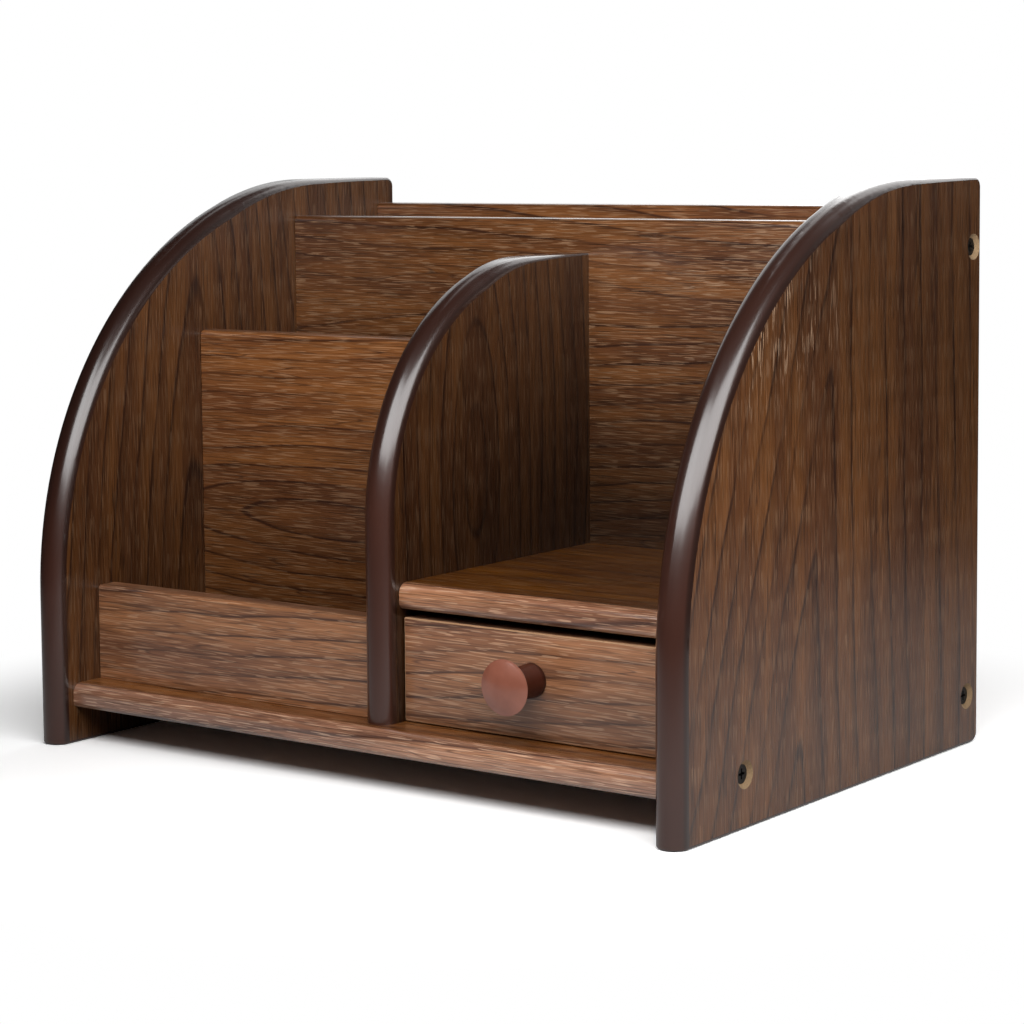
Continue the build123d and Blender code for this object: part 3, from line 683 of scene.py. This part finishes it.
# %% [markdown]
# ## Knob
# The knob is turned from beech and sprayed. Half of its profile is drawn as a chain
# of points from the drawer face to the middle of the disc, then spun round its axis,
# as a lathe does. The stem swells at its foot, a small hollow leads into the disc,
# and the disc is a shallow dome, which spreads the light of a lamp over it. The
# offsets of the hollow and the rim are in millimetres: out from the stem and back
# from the disc, then in from the rim and forward from the back of the disc.

# %% Knob
knob_low, knob_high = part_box("drawer_knob")
knob_middle = (knob_low + knob_high) / 2
DISC_R = (knob_high.x - knob_low.x) / 2
STEM_R = 5.7 * MM
FOOT_R = 6.2 * MM
DOME = 2.3 * MM
RIM = 0.6 * MM
HOLLOW_MM = ((0.2, 0.6), (1.0, 0.1))
RIM_MM = ((0.9, 0.0), (0.25, 0.2), (0.0, 0.6), (0.05, 0.6))
FOOT_STEPS, DOME_STEPS, LATHE_STEPS = 8, 13, 64
BEHIND_DISC = 0.1 * MM
front_y, back_y = knob_low.y, knob_high.y
disc_back = front_y + DOME + RIM


def knob_profile():
    """(radius, y) of the knob from its foot to the middle of its disc."""
    points = [(0.0, back_y), (FOOT_R, back_y)]
    for step in range(1, FOOT_STEPS):
        share = step / FOOT_STEPS
        swell = (1 - share) ** 2
        points.append((STEM_R + (FOOT_R - STEM_R) * swell, back_y + (disc_back - back_y) * share))
    points += [(STEM_R + out * MM, disc_back + back * MM) for out, back in HOLLOW_MM]
    points += [(DISC_R - inward * MM, disc_back - ahead * MM) for inward, ahead in RIM_MM]
    for step in range(1, DOME_STEPS + 1):
        share = 1 - step / DOME_STEPS
        points.append((DISC_R * share, front_y + DOME * share**2))
    return points


bm = bmesh.new()
chain = [bm.verts.new((knob_middle.x + radius, y, knob_middle.z)) for radius, y in knob_profile()]
edges = [bm.edges.new(pair) for pair in zip(chain, chain[1:])]
lathe = dict(cent=knob_middle, axis=(0, 1, 0), angle=2 * math.pi, steps=LATHE_STEPS, use_merge=True)
bmesh.ops.spin(bm, geom=chain + edges, **lathe)
bmesh.ops.remove_doubles(bm, verts=bm.verts, dist=SAME_PLACE)
for face in bm.faces:
    face.material_index = 1 if face.calc_center_median().y > disc_back + BEHIND_DISC else 0
to_piece(bm, "drawer_knob_turned", [knob_paint, stem_paint], "drawer_knob")

# %% [markdown]
# ## Curved panels
# The three curved panels already have their holes and their fading nose. A merged
# copy of the CAD mesh is enough, with its faces shared out between finishes: foil on
# the flat sides, lacquer on every rounded or narrow face, and raw board inside the
# screw holes. The holes are found from the screws that stand in them. Where two
# finishes meet, the edge is marked sharp, so the flat sides stay flat in the light.


# %% Dress the curved panels
HOLE_R = 5.05 * MM
SCREW_REACH = 6 * MM
MERGE = 0.001 * MM
ON_SIDE = 0.001 * MM
SIDE_NORMAL = 0.999
STAYS_SMOOTH = math.radians(25)
FOIL, PAINT, RAW = 0, 1, 2


def curved_panel(node, name, screw_spots=()):
    """Foil on the two flat sides, paint on the edges, raw board in the holes."""
    low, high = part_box(node)
    bm = bmesh.new()
    bm.from_mesh(nodes[node].data)
    bmesh.ops.remove_doubles(bm, verts=bm.verts, dist=MERGE)
    for face in bm.faces:
        middle = face.calc_center_median()
        from_side = min(middle.x - low.x, high.x - middle.x)
        in_hole = any((middle.yz - spot).length < HOLE_R for spot in screw_spots)
        on_side = from_side < ON_SIDE and abs(face.normal.x) > SIDE_NORMAL
        face.material_index = FOIL if on_side else RAW if in_hole else PAINT
    for edge in bm.edges:
        finishes = {face.material_index for face in edge.link_faces}
        edge.smooth = len(finishes) == 1 and edge.calc_face_angle(0.0) < STAYS_SMOOTH
    to_piece(bm, name, [foils[node], edge_paint, raw_board], node)


def screw_middles(node):
    """(Y, Z) of each screw of a group: its vertices lie close together there."""
    spots = []
    for vertex in nodes[node].data.vertices:
        place = vertex.co.yz
        for spot in spots:
            if ((spot[0] + spot[1]) / 2 - place).length < SCREW_REACH:
                spot[0] = Vector(map(min, spot[0], place))
                spot[1] = Vector(map(max, spot[1], place))
                break
        else:
            spots.append([place.copy(), place.copy()])
    return [(lowest + highest) / 2 for lowest, highest in spots]


spots_right = screw_middles("side_screws_right")
spots_left = screw_middles("side_screws_left")
curved_panel("side_panel_right", "side_panel_right_dressed", spots_right)
curved_panel("side_panel_left", "side_panel_left_dressed", spots_left)
curved_panel("centre_divider", "centre_divider_dressed")
print("screw holes:", [tuple(round(v / MM, 1) for v in spot) for spot in spots_right])

# %% [markdown]
# ## Carried-over nodes
# The base, the drawer box and all the fasteners have the right shape already. A node
# of the CAD model keeps its mesh and only gets its finish in its material slots.

# %% Finishes of the carried-over nodes
carried = {
    "base_board": foils["base_board"],
    "side_screws_left": black_screw,
    "side_screws_right": black_screw,
    "base_screws": black_screw,
    "dowels_left": dowel_wood,
    "dowels_right": dowel_wood,
    "dowels_centre": dowel_wood,
    "dowels_link": dowel_wood,
    "drawer_dowels": dowel_wood,
    "drawer_side_left": raw_board,
    "drawer_side_right": raw_board,
    "drawer_back": raw_board,
    "drawer_floor": raw_board,
    "drawer_brads": plated_steel,
    "knob_screw": plated_steel,
}
for node, material in carried.items():
    for slot in nodes[node].material_slots:
        slot.material = material
print("carried over:", len(carried))

# %% [markdown]
# ## Surroundings
# The organizer stands on a white sweep in a dim room. Three kinds of ray meet it. The
# camera sees pure white, strength 1, all round. A mirror ray sees a white backdrop
# behind the left corner and a dark room elsewhere, which is what gives the lacquer
# its contrast. Diffuse rays find only a faint glow, so the lamps do the lighting. One
# function answers for all three, and both the world and the far floor use it. The
# edge of the backdrop is given by the cosines of two angles from its middle.

# %% Levels of the surroundings
BACKDROP = (-0.469, 0.883, 0.0)
BACKDROP_FROM, BACKDROP_TO = 0.970, 0.995
ROOM_LEVEL = 0.015
DIFFUSE_LEVEL = 0.06


def sky_level(tree, direction):
    """Strength of the surroundings: 1 for the camera, backdrop or room in mirrors."""
    rays = add(tree, "ShaderNodeLightPath").outputs
    mirror_ray = add(tree, MATHS, {0: rays["Is Glossy Ray"], 1: rays["Is Transmission Ray"]})
    level = add(tree, VECTOR_MATHS, {0: direction, 1: (1, 1, 0)}, operation="MULTIPLY")
    level = add(tree, VECTOR_MATHS, {0: level}, operation="NORMALIZE")
    toward = add(tree, VECTOR_MATHS, {0: level, 1: BACKDROP}, operation="DOT_PRODUCT")
    ramp = {0: toward.outputs["Value"], 1: BACKDROP_FROM, 2: BACKDROP_TO, 3: ROOM_LEVEL, 4: 1.0}
    backdrop = add(tree, RANGE, ramp, **SMOOTH)
    mirrored = add(tree, MIX, {0: mirror_ray, 2: DIFFUSE_LEVEL, 3: backdrop})
    return add(tree, MIX, {0: rays["Is Camera Ray"], 2: mirrored, 3: 1.0})


print("levels: camera 1, room", ROOM_LEVEL, "diffuse", DIFFUSE_LEVEL)


# %% [markdown]
# ## Floor
# Near the organizer the floor is matt paper that takes its shadow, and further out it
# fades into the surroundings, so no edge shows. Paper that is lit to a clean white
# would throw too much light on the organizer, so the paper seen directly is whiter
# than the paper that lights it. Is Camera Ray chooses between the two.

# %% Floor
FLOOR_HALF = 3.0
PAPER_FROM = 0.50
PAPER_TO = 0.66
CAMERA_FROM = 0.20
CAMERA_TO = 0.30
PAPER_WHITE = (0.50, 0.50, 0.50, 1)
CAMERA_WHITE = (1.35, 1.35, 1.35, 1)

bm = bmesh.new()
bmesh.ops.create_grid(bm, x_segments=1, y_segments=1, size=FLOOR_HALF)
floor_mesh = bpy.data.meshes.new("floor")
bm.to_mesh(floor_mesh)
bm.free()
floor = bpy.data.objects.new("floor", floor_mesh)
bpy.context.scene.collection.objects.link(floor)

paper = bpy.data.materials.new("white paper sweep")
paper.use_nodes = True
tree = paper.node_tree
tree.nodes.clear()
place = add(tree, PLACE).outputs["Object"]
distance = add(tree, VECTOR_MATHS, {0: place}, operation="LENGTH").outputs["Value"]
camera_ray = add(tree, "ShaderNodeLightPath").outputs["Is Camera Ray"]
fade_from = add(tree, MIX, {0: camera_ray, 2: PAPER_FROM, 3: CAMERA_FROM})
fade_to = add(tree, MIX, {0: camera_ray, 2: PAPER_TO, 3: CAMERA_TO})
far = add(tree, RANGE, {0: distance, 1: fade_from, 2: fade_to}, **SMOOTH)
whites = {0: camera_ray, MIX_A: PAPER_WHITE, MIX_B: CAMERA_WHITE}
white = add(tree, MIX, whites, **RGBA).outputs[MIX_RESULT]
matt = add(tree, "ShaderNodeBsdfDiffuse", {"Color": white})
heading = add(tree, VECTOR_MATHS, {0: place}, operation="NORMALIZE")
glow = add(tree, "ShaderNodeEmission", {"Strength": sky_level(tree, heading)})
both = add(tree, "ShaderNodeMixShader", {0: far, 1: matt, 2: glow})
add(tree, "ShaderNodeOutputMaterial", {"Surface": both})
floor_mesh.materials.append(paper)
print("floor:", 2 * FLOOR_HALF, "m, fades from", PAPER_FROM, "to", PAPER_TO, "m")

# %% [markdown]
# ## World
# The world gives the same levels by direction. Its coordinates come from Generated,
# which for a world is the direction that a ray leaves in.

# %% World
world = bpy.data.worlds.new("studio")
bpy.context.scene.world = world
world.use_nodes = True
tree = world.node_tree
tree.nodes.clear()
direction = add(tree, PLACE).outputs["Generated"]
light = {"Color": (1, 1, 1, 1), "Strength": sky_level(tree, direction)}
sky = add(tree, "ShaderNodeBackground", light)
add(tree, "ShaderNodeOutputWorld", {"Surface": sky})
print("world:", world.name)

# %% [markdown]
# ## Lamps
# Upright diffusers hang close to a small product: one in front, one at the right and
# one across the corner between them, about as near as the front one. They start about
# as high as the organizer ends, so the lower part of each lacquered edge mirrors the
# paper instead. A wide one far behind draws the bright line along the tops of the
# panels, and a faint one continues it round the left corner. Each is given by two
# points of the plan and two heights, in millimetres, and by its radiance in watts per
# square metre and steradian.


# %% Lamps
def diffuser(name, start, end, low, high, radiance):
    """An upright diffuser between two points of the plan, facing the organizer."""
    a, b = Vector((*start, 0.0)) * MM, Vector((*end, 0.0)) * MM
    along = (b - a).normalized()
    across = along.cross(Vector((0, 0, 1)))
    middle = (a + b) / 2
    towards = across if across.dot(middle) < 0 else -across
    lamp = bpy.data.lights.new(name, "AREA")
    lamp.shape = "RECTANGLE"
    lamp.size = (b - a).length
    lamp.size_y = (high - low) * MM
    lamp.energy = radiance * math.pi * lamp.size * lamp.size_y
    holder = bpy.data.objects.new(name, lamp)
    bpy.context.scene.collection.objects.link(holder)
    holder.location = middle + Vector((0, 0, (low + high) / 2 * MM))
    holder.rotation_euler = towards.to_track_quat("-Z", "Y").to_euler()
    holder.visible_camera = False


diffuser("front diffuser", (-73, -375), (250, -375), 226, 580, 6.4)
diffuser("corner diffuser", (250, -375), (480, -145), 216, 560, 6.0)
diffuser("right diffuser", (480, -145), (480, 0), 200, 550, 6.0)
diffuser("back diffuser", (-450, 900), (650, 900), 330, 1300, 2.4)
diffuser("left diffuser", (-900, 350), (-450, 900), 330, 1000, 0.7)

# %% [markdown]
# ## Camera
# A long lens from the right front, a little above the top of the organizer and tilted
# down by about 5 degrees. A small lens shift places the organizer in the picture.

# %% Camera
YAW, PITCH, ROLL = (math.radians(v) for v in (37.475, 5.238, -0.586))
CAMERA_MM = (637.68, -868.95, 234.69)
camera_data = bpy.data.cameras.new("camera")
camera_data.sensor_width = 36.0
camera_data.lens = 97.92
camera_data.shift_x = 0.0666
camera_data.shift_y = -0.1115
camera_data.clip_start = 0.05
camera = bpy.data.objects.new("camera", camera_data)
bpy.context.scene.collection.objects.link(camera)
camera.location = Vector(CAMERA_MM) * MM
tilt = Matrix.Rotation(math.pi / 2 - PITCH, 3, "X")
turn = Matrix.Rotation(YAW, 3, "Z") @ tilt @ Matrix.Rotation(ROLL, 3, "Z")
camera.rotation_euler = turn.to_euler()
bpy.context.scene.camera = camera
bpy.context.scene.view_settings.view_transform = "Standard"
print("camera at", [round(v / MM) for v in camera.location], "mm")
